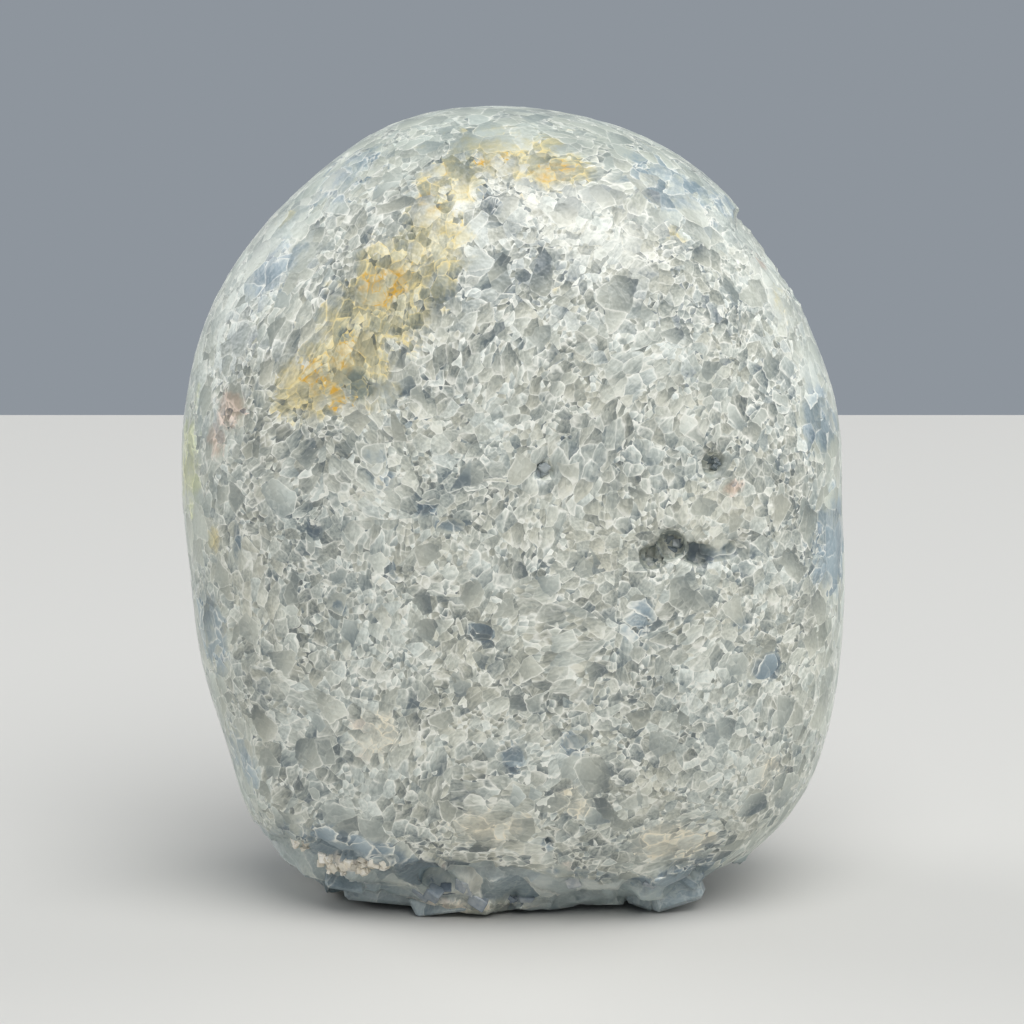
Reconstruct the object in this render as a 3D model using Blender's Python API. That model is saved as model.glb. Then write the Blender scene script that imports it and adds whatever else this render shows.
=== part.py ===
"""Celestite: a closed polished ovoid of grown-together crystals on a rough, broken base.

Metres, +Z up. X runs to the right of the broad front face, which looks towards -Y.
The origin is at the middle of the flat spot that the stone rests on.
"""

import math
import random

import bmesh
import bpy
from mathutils import Euler, Matrix, Vector, noise

MM = 0.001

# Driving dimensions of the polished ovoid
DEPTH_FRONT = 36.0 * MM
DEPTH_BACK = 34.0 * MM
CENTRE_HEIGHT = 58.0 * MM
ROUNDNESS = 2.45
BASE_FULLNESS = 0.9
SURFACE_LEVELS = 5
SWELL = 0.9 * MM
SWELL_LENGTH = 26.0 * MM

# The broad face's outline in millimetres, (x, z), anticlockwise from the right side
OUTLINE = (
    (50.2, 48), (49.6, 60), (49.1, 72), (47.5, 79), (44.4, 86.8), (41.4, 94), (37.6, 100.6),
    (33.0, 105.6), (26.3, 111.4), (17.9, 116.0), (7.8, 118.9), (-3, 120), (-12.8, 119.1),
    (-20.9, 116.4), (-30.8, 109.4), (-40.6, 99.3), (-46.4, 89.7), (-50.1, 77), (-51.1, 64),
    (-50, 50), (-47.9, 34), (-44.4, 22.5), (-41.3, 12.5), (-35.5, 5), (-27, 0.8), (-15, -1),
    (0, -1.5), (14, -1.2), (24, 0.4), (32.5, 4.2), (40, 10), (44.8, 16.5), (48.1, 26), (49.7, 37),
)

# Crystals of the broken base at the front: turn in degrees with height and how far they stand
# out in millimetres, then size (deep, wide, tall) and tilt
FRONT_CRYSTALS = (
    ((-135, 13.0, -0.3), (9, 8, 6), (32, 6, -8)),
    ((-127, 10.0, 0.0), (9, 7, 8), (-16, -4, 5)),
    ((-118, 10.6, 0.2), (9, 10, 5.5), (8, -6, 5)),
    ((-143, 7.0, 0.2), (9, 12, 8), (-30, -6, -6)),
    ((-129, 4.0, 0.5), (9, 14, 6), (-14, -8, 4)),
    ((-113, 6.4, -0.4), (9, 8, 6), (28, 6, 8)),
    ((-114, 1.8, 0.8), (9, 13, 6), (-9, -10, -4)),
    ((-100, 4.6, -0.3), (9, 9, 8), (24, -4, 3)),
    ((-94, 0.8, 0.8), (9, 12, 6), (-5, -8, 2)),
    ((-80, 3.6, -0.4), (9, 12, 7), (16, -4, -6)),
    ((-70, 0.6, 0.8), (8, 7, 7.5), (-20, -6, 8)),
    ((-57, 4.4, -0.3), (9, 8, 8), (-28, -2, -8)),
    ((-44, 5.2, 0.9), (10, 11, 8), (-14, -8, 6)),
    ((-31, 9.0, -0.4), (9, 9, 8), (30, 4, -4)),
)

# Crystals round the sides and back: how many, where they lie, how far they stand out, their sizes
RING_CRYSTALS = 42
RING_START = -24
RING_SWEEP = 240
RING_HEIGHTS = (0.5 * MM, 10.5 * MM)
RING_OUT = (-0.6 * MM, 0.7 * MM)
RING_SIZES = ((7, 10), (5, 14), (5, 9))
RING_TILT = (45, 9, 9)
CRYSTAL_EDGE = 0.14
CRYSTAL_SKEW = 0.12

# Open pits between the crystals: place (x, z), face, width and height, depth, turn
PITS = (
    ((19.6, 57.4), -1, (4.2, 2.6), 2.6, 24),
    ((22.4, 59.0), -1, (4.0, 5.0), 3.4, -8),
    ((27.0, 57.4), -1, (7.0, 2.6), 1.6, -6),
    ((31.6, 58.0), -1, (5.0, 2.0), 1.2, 8),
    ((28.6, 70.6), -1, (3.0, 4.0), 2.4, 15),
    ((4.0, 70.2), -1, (2.0, 3.2), 2.0, -18),
    ((7.6, 74.8), -1, (3.4, 1.8), 1.8, 8),
    ((4.9, 14.1), -1, (1.8, 2.2), 1.4, 40),
    ((-11.2, 6.4), -1, (6.0, 4.2), 3.0, 28),
    ((10.2, 2.6), -1, (5.0, 3.4), 2.6, -10),
    ((-18, 88), 1, (4.6, 3.2), 2.6, 30),
    ((14, 44), 1, (6.0, 3.6), 3.2, -15),
    ((19, 46), 1, (5.0, 2.4), 2.0, 20),
    ((-9, 30), 1, (3.0, 4.4), 2.4, 5),
    ((2, 99), 1, (3.2, 2.2), 1.8, -30),
)

# A broken step in the polish at the upper right, cut by a few blocks side by side
STEP_AT = (32.5, 105.1)
STEP_SLOPE = 50.5
STEP_BLOCKS = (
    (-17, 0.9, 13, -9), (-10, 1.2, 17, 6), (-2, 1.7, 20, -4), (5, 1.4, 17, 8), (12, 0.8, 13, -6),
)
STEP_WIDTH = 11.0 * MM
STEP_BOX = 9.0 * MM

FLOOR_BOX = 200.0 * MM
SEED = 46
SKIN_REACH = 80.0 * MM
SKIN_HALVINGS = 24
NORMAL_STEP = 0.4 * MM
PIT_JITTER = (0.92, 1.2)
COLOUR = (0.42, 0.47, 0.47, 1.0)
ROUGHNESS = 0.3
REFRACTION = 1.62


def clear_scene():
    """Remove whatever the open file holds."""
    for old in list(bpy.data.objects):
        bpy.data.objects.remove(old, do_unlink=True)


def outline_radii():
    """Outline points as (angle, radius) round the centre, in order of angle."""
    polar = []
    for x, z in OUTLINE:
        height = z * MM - CENTRE_HEIGHT
        polar.append((math.atan2(height, x * MM), math.hypot(x * MM, height)))
    return sorted(polar)


def radius_at(angle, polar):
    """Radius of the outline at an angle, on a smooth closed curve through its points."""
    count = len(polar)
    upper = next((i for i, (a, _) in enumerate(polar) if a > angle), count)
    knots = []
    for offset in (-2, -1, 0, 1):
        turns, index = divmod(upper + offset, count)
        knots.append((polar[index][0] + turns * math.tau, polar[index][1]))
    (a0, r0), (a1, r1), (a2, r2), (a3, r3) = knots
    span = a2 - a1
    t = (angle - a1) / span
    slope1 = (r2 - r0) / (a2 - a0) * span
    slope2 = (r3 - r1) / (a3 - a1) * span
    t2, t3 = t * t, t * t * t
    return (
        (2 * t3 - 3 * t2 + 1) * r1 + (t3 - 2 * t2 + t) * slope1
        + (3 * t2 - 2 * t3) * r2 + (t3 - t2) * slope2
    )


def skin_along(direction, polar):
    """Where a ray from the centre leaves the ovoid."""
    across = math.hypot(direction.x, direction.z)
    rim = radius_at(math.atan2(direction.z, direction.x), polar)
    depth = DEPTH_FRONT if direction.y < 0 else DEPTH_BACK
    power = ROUNDNESS + BASE_FULLNESS * max(0, -direction.z) ** 3
    inverse = (across / rim) ** power + (abs(direction.y) / depth) ** power
    place = direction * inverse ** (-1 / power)
    swell = SWELL * noise.noise(place / SWELL_LENGTH) * abs(direction.y)
    return place + direction * swell + Vector((0, 0, CENTRE_HEIGHT))


def skin_between(inner, outer, polar):
    """Where the line from a point inside the ovoid to one outside crosses its skin, by halving."""
    centre = Vector((0, 0, CENTRE_HEIGHT))
    for _ in range(SKIN_HALVINGS):
        middle = (inner + outer) / 2
        away = middle - centre
        if away.length < (skin_along(away.normalized(), polar) - centre).length:
            inner = middle
        else:
            outer = middle
    return inner


def skin_round(turn, height, polar):
    """Point of the ovoid's skin at a turn about Z and a height."""
    outer = Vector((math.cos(turn) * SKIN_REACH, math.sin(turn) * SKIN_REACH, height))
    return skin_between(Vector((0, 0, height)), outer, polar)


def new_object(name, bm):
    """Turn a bmesh into an object of the scene."""
    mesh = bpy.data.meshes.new(name)
    bm.normal_update()
    bm.to_mesh(mesh)
    bm.free()
    made = bpy.data.objects.new(name, mesh)
    bpy.context.scene.collection.objects.link(made)
    return made


def turned(angles):
    """Rotation matrix from three angles in degrees."""
    return Euler([math.radians(angle) for angle in angles]).to_matrix().to_4x4()


def add_block(bm, place, side):
    """A plain block, added to a bmesh."""
    made = bmesh.ops.create_cube(bm, size=side)["verts"]
    bmesh.ops.transform(bm, matrix=place, verts=made)


def add_crystal(bm, place, size, rng):
    """One blocky crystal, a little out of square, with its edges cut off."""
    made = bmesh.ops.create_cube(bm, size=1.0)["verts"]
    for vert in made:
        vert.co += Vector([rng.uniform(-CRYSTAL_SKEW, CRYSTAL_SKEW) for _ in range(3)])
    bmesh.ops.scale(bm, verts=made, vec=size)
    edges = list({edge for vert in made for edge in vert.link_edges})
    cut = bmesh.ops.bevel(
        bm, geom=edges, offset=CRYSTAL_EDGE * min(size), offset_type="OFFSET",
        affect="EDGES", segments=1, profile=0.5, material=-1,
    )
    bmesh.ops.transform(bm, matrix=place, verts=cut["verts"])


def make_ovoid(polar):
    """The polished body, an icosphere drawn out to the outline and the depth."""
    bm = bmesh.new()
    bmesh.ops.create_icosphere(bm, subdivisions=SURFACE_LEVELS, radius=1.0)
    for vert in bm.verts:
        vert.co = skin_along(vert.co.normalized(), polar)
    return new_object("celestite_body", bm)


def on_skin(turn, height, tilt, polar):
    """Frame on the ovoid's skin: X outwards, Y level, Z up along the skin, then tilted."""
    here = skin_round(turn, height, polar)
    across = skin_round(turn + NORMAL_STEP / here.xy.length, height, polar) - here
    up = skin_round(turn, height + NORMAL_STEP, polar) - here
    outwards = across.cross(up).normalized()
    level = Vector((0, 0, 1)).cross(outwards).normalized()
    facing = Matrix((outwards, level, outwards.cross(level))).transposed().to_4x4()
    return Matrix.Translation(here) @ facing @ turned(tilt)


def make_base_crystals(polar):
    """All the crystals of the broken base, still overlapping, in one cutter object."""
    rng = random.Random(SEED + 1)
    bm = bmesh.new()
    for (turn, height, out), size, tilt in FRONT_CRYSTALS:
        skin = on_skin(math.radians(turn), height * MM, tilt, polar)
        inset = Matrix.Translation(((out - size[0] / 2) * MM, 0, 0))
        add_crystal(bm, skin @ inset, [side * MM for side in size], rng)
    for index in range(RING_CRYSTALS):
        turn = math.radians(RING_START + RING_SWEEP * index / (RING_CRYSTALS - 1))
        tilt = [rng.uniform(-limit, limit) for limit in RING_TILT]
        skin = on_skin(turn, rng.uniform(*RING_HEIGHTS), tilt, polar)
        size = [rng.uniform(*limits) * MM for limits in RING_SIZES]
        inset = Matrix.Translation((rng.uniform(*RING_OUT) - size[0] / 2, 0, 0))
        add_crystal(bm, skin @ inset, size, rng)
    return new_object("base_crystals", bm)


def make_pit_cutters(polar):
    """Blunt many-sided cutters for the open pits."""
    rng = random.Random(SEED + 2)
    bm = bmesh.new()
    for (x, z), side, (width, height), depth, turn in PITS:
        made = bmesh.ops.create_icosphere(bm, subdivisions=1, radius=0.5)["verts"]
        for vert in made:
            vert.co *= rng.uniform(*PIT_JITTER)
        bmesh.ops.scale(bm, verts=made, vec=(width * MM, 2 * depth * MM, height * MM))
        middle = Vector((x * MM, 0, z * MM))
        skin = skin_between(middle, middle + Vector((0, side * SKIN_REACH, 0)), polar)
        place = Matrix.Translation(skin) @ turned((0, turn, 0))
        bmesh.ops.transform(bm, matrix=place, verts=made)
    return new_object("pit_cutters", bm)


def make_step_cutter():
    """Flat blocks that take the thin broken step out of the polished shoulder."""
    rng = random.Random(SEED + 3)
    bm = bmesh.new()
    edge = Matrix.Translation((STEP_AT[0] * MM, 0, STEP_AT[1] * MM))
    for across, depth, run, lean in STEP_BLOCKS:
        middle = Matrix.Translation((run / 2 * MM, across * MM, STEP_BOX / 2 - depth * MM))
        place = edge @ turned((0, STEP_SLOPE, 0)) @ middle @ turned((lean / 2, 0, lean))
        add_crystal(bm, place, (run * MM, STEP_WIDTH, STEP_BOX), rng)
    return new_object("step_cutter", bm)


def make_floor_cutter():
    """A block under the stone, whose top is the flat rest spot's plane."""
    bm = bmesh.new()
    add_block(bm, Matrix.Translation((0, 0, -FLOOR_BOX / 2)), FLOOR_BOX)
    return new_object("floor_cutter", bm)


def use_cutter(body, cutter, operation):
    """Add one exact Boolean to the body and hide its cutter."""
    step = body.modifiers.new(cutter.name, "BOOLEAN")
    step.operation = operation
    step.solver = "EXACT"
    step.use_self = True
    step.object = cutter
    cutter.hide_render = True
    cutter.display_type = "WIRE"


def centre_over_origin(body):
    """Shift the stone and its cutters so that the ovoid's middle is over the origin."""
    points = [vert.co for vert in body.data.vertices]
    middle_x = (min(p.x for p in points) + max(p.x for p in points)) / 2
    middle_y = (min(p.y for p in points) + max(p.y for p in points)) / 2
    for shifted in bpy.context.scene.objects:
        shifted.location -= Vector((middle_x, middle_y, 0))


def celestite_material():
    """Pale blue-grey polished celestite."""
    material = bpy.data.materials.new("polished_celestite")
    material.use_nodes = True
    shader = material.node_tree.nodes["Principled BSDF"]
    shader.inputs["Base Color"].default_value = COLOUR
    shader.inputs["Roughness"].default_value = ROUGHNESS
    shader.inputs["Metallic"].default_value = 0.0
    shader.inputs["IOR"].default_value = REFRACTION
    return material


def main():
    """Build the stone."""
    clear_scene()
    polar = outline_radii()
    body = make_ovoid(polar)
    use_cutter(body, make_step_cutter(), "DIFFERENCE")
    use_cutter(body, make_base_crystals(polar), "UNION")
    use_cutter(body, make_pit_cutters(polar), "DIFFERENCE")
    use_cutter(body, make_floor_cutter(), "DIFFERENCE")
    centre_over_origin(body)
    body.data.materials.append(celestite_material())


main()
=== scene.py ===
"""Celestite: the polished, crystalline finish of the stone, its broken base and its open pits.

Laid out as a Blender add-on and run as a script. Metres, +Z up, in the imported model's frame.
"""

import math
import random

import bmesh
import bpy
import numpy as np
from mathutils import Euler, Matrix, Vector, noise
from mathutils.bvhtree import BVHTree
from mathutils.kdtree import KDTree


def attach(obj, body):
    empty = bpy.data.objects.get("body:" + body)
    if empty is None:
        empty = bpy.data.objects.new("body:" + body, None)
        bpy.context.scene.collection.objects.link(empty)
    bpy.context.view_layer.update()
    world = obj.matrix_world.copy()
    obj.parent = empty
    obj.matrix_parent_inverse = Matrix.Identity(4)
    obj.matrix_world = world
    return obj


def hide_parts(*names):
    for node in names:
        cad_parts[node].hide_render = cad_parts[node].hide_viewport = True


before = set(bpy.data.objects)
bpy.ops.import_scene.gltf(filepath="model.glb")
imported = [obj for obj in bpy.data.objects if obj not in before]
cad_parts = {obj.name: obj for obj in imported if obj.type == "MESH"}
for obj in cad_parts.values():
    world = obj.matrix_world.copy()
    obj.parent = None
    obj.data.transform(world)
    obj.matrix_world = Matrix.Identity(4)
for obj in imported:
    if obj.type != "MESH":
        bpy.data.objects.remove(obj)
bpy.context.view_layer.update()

bl_info = {
    "name": "Celestite geode looks",
    "version": (1, 0, 0),
    "blender": (4, 5, 0),
    "location": "3D View > Sidebar > Celestite",
    "description": "Dresses the packed celestite solid with its grains, stains, pits and polish",
    "category": "Object",
}

MM = 0.001
MATHS, VECTOR, MAP = "ShaderNodeMath", "ShaderNodeVectorMath", "ShaderNodeMapRange"
NOISE, MIX, CELLS = "ShaderNodeTexNoise", "ShaderNodeMix", "ShaderNodeTexVoronoi"
NODE = "celestite_body"
BODY = "root"
SKIN_MATERIAL = "polished_celestite"

# The skin's mesh: how fine it is, what counts as broken, and where the polish ends above the base
WELD = 1e-6
VOXEL = 0.76 * MM
SHARP_ANGLE = math.radians(24)
BROKEN_NEAR, BROKEN_FAR = 0.8 * MM, 3.2 * MM
POLISH_LIMIT = (6.5 * MM, 12 * MM)
POLISH_SLOPE = 0.1
POLISH_WANDER, WANDER_LENGTH = 5 * MM, 11 * MM
SMOOTH_ALL, SMOOTH_POLISH, SMOOTH_FACTOR = 2, 8, 0.5
BAND_LIMIT = (0.3, 0.86)
OFF_MIDDLE = 20 * MM

# Colour zones on the front face, in millimetres: centre (x, z), half sizes, turn in degrees, strength
ZONES = {
    "stain": (
        ((-30.5, 81), (6, 5), 10, 0.95),
        ((-24, 86), (8, 8.5), -20, 1),
        ((-18, 95), (10, 7.5), 40, 1),
        ((-11.5, 103), (6, 7), 10, 0.9),
        ((-9, 110.5), (6, 4), -10, 0.85),
        ((-1, 114), (12, 4.2), 0, 0.75),
        ((6.5, 112), (5.5, 3), 0, 1),
        ((-34.5, 104), (3, 2.5), 0, 0.45),
        ((-44.3, 57.4), (1.8, 2.6), 0, 0.8),
        ((24, 103), (2.5, 2), 0, 0.4),
        ((39.5, 92.5), (2, 3.2), 20, 0.45),
        ((6, 96.5), (3, 2), 0, 0.3),
    ),
    "ochre": (
        ((-18.5, 96.2), (5, 3), 30, 1),
        ((-27, 82), (5.5, 2.8), -35, 1),
        ((-24.5, 85.5), (2.2, 5), -35, 0.9),
        ((6, 112.1), (3.6, 1.7), 0, 1),
        ((-3, 113.6), (4, 1.4), 0, 0.75),
        ((-12.4, 107.5), (2, 2.6), 0, 0.7),
        ((-10.5, 112), (2, 1.2), 0, 0.7),
    ),
    "cream": (
        ((-20.2, 30.8), (5, 6), 0, 0.8),
        ((-3.5, 16.5), (7, 3.4), 0, 0.9),
        ((23.3, 13.4), (7, 4), 0, 0.9),
        ((8.9, 20.7), (4, 3.5), 0, 0.7),
        ((-8, 1.5), (9, 2), 0, 0.8),
        ((38, 24), (3, 4), 0, 0.5),
        ((0, 112), (14, 7), 0, 0.35),
    ),
    "crust": (
        ((-23.2, 8.8), (4.6, 1.1), 6, 1),
        ((-27.3, 8.9), (1.8, 1.5), 0, 0.8),
        ((-31.8, 11.6), (1.3, 1.3), 0, 0.6),
        ((-11, 9.6), (1.8, 1.2), 0, 0.6),
        ((-12, 2), (10, 1.5), 0, 0.6),
        ((8, 9.6), (1.2, 2), 20, 0.6),
        ((-22, 27.5), (2, 2.4), 0, 0.6),
        ((-22.5, 32), (2.6, 1.6), 0, 0.6),
    ),
    "slate": (
        ((-26, 11.5), (10, 4.4), -10, 1),
        ((-13, 7.5), (8, 4.6), -20, 1),
        ((-20, 3), (11, 2.8), -12, 0.9),
        ((24, 6), (9, 4), 12, 1),
        ((8, 7), (8, 3), 0, 0.6),
        ((-41, 24), (4, 6), 15, 0.7),
        ((-45.1, 42.6), (3.4, 7), 8, 0.9),
        ((47.3, 55.9), (4, 9), 0, 1),
        ((45.7, 74.6), (4, 6), 10, 0.9),
        ((-35, 98), (6.5, 4), 50, 0.7),
        ((22.5, 109.4), (8, 4), -32, 0.8),
        ((31.7, 105.9), (4.5, 2.2), -35, 0.6),
        ((-24, 111), (7, 4), 35, 0.7),
        ((-20, 70), (3, 5), 0, 0.5),
        ((-15, 78), (2.5, 5), 0, 0.4),
    ),
    "window": (
        ((-4.9, 46.7), (2.6, 1.7), -10, 1),
        ((9, 30.1), (2.6, 2.2), 0, 1),
        ((-0.3, 27.5), (2.2, 2.6), 0, 0.9),
        ((-9.3, 62.4), (2.6, 1.2), 0, 0.9),
        ((-12.7, 64.7), (2, 1.4), 20, 0.9),
        ((-17.7, 55.9), (1.2, 2), 0, 0.9),
        ((37.1, 40), (3.2, 2.4), 40, 1),
        ((17.9, 47.6), (3, 2.2), 30, 0.8),
        ((5, 13.7), (1.1, 1.3), 0, 1),
        ((-40.7, 58.2), (0.8, 3.6), 0, 0.9),
        ((-25.5, 49.8), (1.4, 1.6), 0, 0.9),
        ((-22.7, 82.1), (3.2, 2.8), 0, 1),
        ((-24.3, 89), (1.5, 1.5), 0, 0.7),
        ((-4.6, 109.3), (1.6, 1.8), 0, 0.9),
        ((-3.2, 107.2), (2.2, 2.4), 0, 0.7),
        ((29.1, 57.7), (5, 1.6), 0, 0.8),
        ((-29, 61), (1.6, 1.6), 0, 0.8),
        ((33, 47), (1.6, 1.2), 0, 0.7),
        ((18.6, 50.6), (2.2, 1.8), 0, 0.7),
    ),
    # The pits are opened in the relief, and their tone is also darkened as painted shade
    "pit": (
        ((19.6, 57.4), (2, 1.3), 24, 1),
        ((22.6, 58.8), (1.9, 2.4), -8, 1),
        ((27, 57.4), (3.2, 1.2), -6, 0.75),
        ((31.6, 58), (2.4, 0.9), 8, 0.8),
        ((26.5, 57.8), (7, 1.8), -2, 0.65),
        ((21.4, 58.4), (3.4, 2.3), 22, 0.8),
        ((28.4, 71), (2, 1.6), 10, 0.62),
        ((29.4, 68.4), (0.9, 1.3), 0, 0.6),
        ((3.7, 70.4), (1.1, 1.8), -18, 0.62),
        ((7.6, 74.8), (1.8, 0.8), 8, 0.6),
        ((4.9, 14.1), (0.9, 1.1), 40, 0.4),
        ((-11.2, 6.4), (2.8, 2), 28, 0.6),
        ((10.2, 2.6), (1.2, 0.9), -10, 0.5),
    ),
    "rose": (
        ((-41.3, 77.3), (2.8, 3.4), -20, 1),
        ((-43.8, 72.1), (2, 2.8), 10, 0.9),
        ((31.5, 66.9), (2.2, 1.3), 20, 1),
        ((36.5, 98.1), (1.2, 2), 30, 0.7),
    ),
    "green": (
        ((-48.5, 67.6), (2.4, 8), 0, 0.9),
        ((-46.5, 78), (2, 3), 10, 0.5),
    ),
}

# The same on the back face, seen through the stone from the front
BACK_ZONES = {
    "stain": (
        ((-8, 108), (10, 5), -10, 0.7),
        ((22, 88), (6, 8), 25, 0.8),
        ((27, 78), (4, 5), 0, 0.6),
        ((-30, 40), (4, 6), 15, 0.5),
    ),
    "ochre": (((23, 86), (3, 4.5), 20, 0.6),),
    "cream": (
        ((10, 22), (8, 5), 0, 0.8),
        ((-22, 60), (6, 9), 30, 0.6),
        ((5, 96), (12, 6), -15, 0.5),
        ((-14, 5), (8, 2.5), 8, 0.9),
    ),
    "slate": (
        ((15, 64), (9, 5), -30, 0.7),
        ((-12, 34), (7, 6), 20, 0.6),
        ((-33, 86), (5, 7), 30, 0.6),
        ((36, 42), (5, 9), 0, 0.7),
        ((8, 8), (12, 4), 5, 0.8),
    ),
    "window": (
        ((-4, 74), (3, 2.2), 20, 1),
        ((20, 48), (2.6, 2.6), 0, 0.9),
        ((-18, 48), (2.4, 3), 30, 0.9),
        ((12, 82), (2.2, 2), 0, 0.8),
    ),
}

# Zones that follow from the stone's shape: broken edges, its base and its narrow rim
SHAPE_ZONES = ("broken", "base", "band")

# How deep a zone reaches for its size, and where its share starts to fade and ends
ZONE_DEPTH, ZONE_FADE = 1.6, (0.3, 1.5)

# Larger crystals at the front of the base: middle (x, z), size (wide, deep, high) and turn
FRONT_CRYSTALS = (
    ((-19, 3), (13, 8, 4.6), 4),
    ((-11, 1.6), (9, 7, 2.8), -7),
    ((-25, 6), (6, 5, 4), 10),
    ((23.6, 3.8), (8, 6.6, 5), -12),
    ((19.5, 2.6), (5.5, 6, 4), 20),
    ((26.2, 6.4), (4.4, 5, 3.6), 35),
)
FRONT_CRYSTAL_SINK = 0.4    # of a crystal's depth

# The camera of the reference view
CAMERA_PITCH = math.radians(10)
CAMERA_DISTANCE = 0.5856
CAMERA_TARGET = (-0.00028, 0, 0.05823)
CAMERA_LENS = 135

# Tones of the grains from dark to pale, polished and in the broken base
GREYS = (
    (0, "#677073"), (0.16, "#838986"), (0.34, "#9a9e98"), (0.56, "#b4b6ad"), (0.8, "#cdcec4"),
    (1, "#e2e1d6"),
)
SLATES = ((0, "#56636c"), (0.22, "#717f87"), (0.45, "#909ca2"), (0.7, "#aeb7b9"), (1, "#d3d4d0"))
CREAM, OCHRE_PATCH, CHALK = "#ebe2ca", "#dabb6c", "#eee0cf"
BAND_TINT = (0.87, 1, 0.99, 1)
STAIN_TINT = (1.06, 0.95, 0.71, 1)
WARM_GRAIN, COOL_GRAIN = (1.02, 1, 0.93, 1), (0.95, 1, 1.02, 1)
ROSE_TINT, GREEN_TINT = (0.98, 0.8, 0.74, 1), (1.04, 1.03, 0.75, 1)

# Celestite refracts light a little more than glass does
REFRACTION = 1.62

# The noises' lengths in millimetres
BEND_LENGTH, SHAKE_LENGTH = 6.5, 1.25
PATCH_LENGTH, PATCH_ROUGHNESS, STREAK_LENGTH = 2.8, 0.62, 0.9
VEIL_LENGTH, TINT_LENGTH = 9, 17
SEEP_LENGTH, POLISH_LENGTH = 1.7, 0.8
LUMP_LENGTH = 3

# The middle of a noise and of three random numbers
MIDDLE, MIDDLES = 0.5, (0.5,) * 3

# How far the noises bend the grains in millimetres, and how flat or long the blades are
BEND, SHAKE = (1.8,) * 3, (0.55,) * 3
BLADED, BLADE_LENGTH = (0.45, 0.75), (1, 0.56)
BLADE_WIDTH = 1.1
STREAKS = (2.4, 2.4, 0.5)

# Each size of grain: darkest and palest tone, slope of its face, how deep it lies in millimetres,
# strength of the ring inside its rim, and how streaky it is
GRAINS = {
    "crumb": {"tones": (0.38, 0.78), "slope": 0.35, "sink": 0, "ring": 0, "grit": 1},
    "middle": {"tones": (0.3, 0.76), "slope": 0.22, "sink": -0.05, "ring": 0.55, "grit": 0.8},
    "clear": {"tones": (0.36, 0.62), "slope": 0.12, "sink": -0.12, "ring": 0, "grit": 0.15},
    "block": {"tones": (0.2, 0.95), "slope": 0.3, "sink": -0.5, "ring": 0, "grit": 0.4},
}

# How much painted shade a grain's lean puts across its tone, paler on one side and darker on the other like
# light on a tilted face, and how the lean and the ring shape its milky rim, painted whiter on the side the
# grain leans to
LEAN_PAINTED_SHADE = 1
TILT_FROM, TILT_TO = -0.12, 0.14
RIM_LEAST = 0.08
RING_PLACE, RING_WIDTH, RING_CUT = (0.24, 0.75), (0.03, 0.13), -0.18

# Where the patchy noise makes the milky rims wide, in millimetres, and white
GRAIN_RIM = {"width": (0.38, 0.66, 0.12, 0.42), "strength": (0.3, 0.6, 0.4, 1.2)}
BLOCK_RIM = {"width": (0.4, 0.66, 0.06, 0.4), "strength": (0.42, 0.62, 0.05, 0.9)}

# Shares of the grains that are middle ones or clear ones, and where the clear ones crowd
MIDDLE_SHARE, CLEAR_SHARE = 0.68, 0.08
CLEAR_SIZES = (0.6, 0.86)
CLEAR_SHIFT = (31.7, 12.3, 57.1)
CROWDED = {"window": 0.8, "band": 0.3, "slate": 0.35}
WINDOW_POWER = 1.7
BLOCK_PATCHY, BLOCK_CRUSHED, BLOCK_LIMIT = 0.8, 0.5, (0.25, 0.45)
LAYER_COVER = 0.82

# The ragged edge of a zone: by patches, by grains, and where it starts and is full
RAGGED_PATCHES, RAGGED_GRAINS, RAGGED_BASE = 1.4, 0.5, -0.95
RAGGED_LIMIT, ZONE_END = (0.35, 0.85), 0.05

# How much each zone changes the tone, and how much the rim of the stone evens it out with painted reflection
# The pits' share is painted shade; the windows and slate zones are darker in their own colour
DARKER_AND_PIT_SHADE = {"window": -0.3, "slate": -0.2, "pit": -0.22}
# On the stone's narrow rim: painted light lifts the tone, and painted reflection evens it towards a middle
# tone and clears the milky rims
BAND_PAINTED_LIGHT, BAND_EVEN, BAND_MIDDLE, BAND_CLEAN = 0.07, 0.4, 0.5, -0.9
BLUE_BLOCK, BLUE_WINDOW = 0.75, 0.85

# Where iron stain seeps in, and how the gold and the cream cover the grains
SEEPING = (0.43, 0.57)
SOAK_EDGE, SOAK_ALL = 0.6, 0.5
GOLD_COVER, CREAM_COVER = 0.6, 0.3
CHALK_EDGE, CHALK_ALL = 0.5, 0.55
TINT_CONTRAST = 2

# How far a grain's face leans, and the polish: its waviness in metres, its gloss and its sheen
FACET = (0.5,) * 3
WAVINESS = 0.12 * MM
CLEAR_GLOSS, MILKY_GLOSS = 0.36, 0.56
COAT, COAT_GLOSS = 0.09, 0.2
SHEEN, SHEEN_GLOSS = 0.4, 0.25

# The relief in millimetres: the grains everywhere, more where it is broken, less on the rim
RELIEF, RELIEF_BROKEN, RELIEF_BAND = 0.9, 0.9, -0.55
RELIEF_SINK = -0.15
LUMPS, LUMPS_SINK = 0.9, -0.6

# Loose crystals in the pits, the crusts and the broken base: how many, tilt in degrees, sizes, tones
SEED = 17
GOLDEN_TURN = math.pi * (3 - math.sqrt(5))
CRYSTAL_EDGE = 0.12
CRYSTAL_SKEW = 0.16
FLOOR_CLEARANCE = 0.05 * MM
PIT_RIM, PIT_SUNK = 1.8, 0.1 * MM
VUG_DEPTH = 1
PIT_CRYSTALS, PIT_LEAST, PIT_TILT = 1.4, 2, 80
PIT_CRYSTAL_SIZE = (0.8 * MM, 2 * MM)
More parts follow.
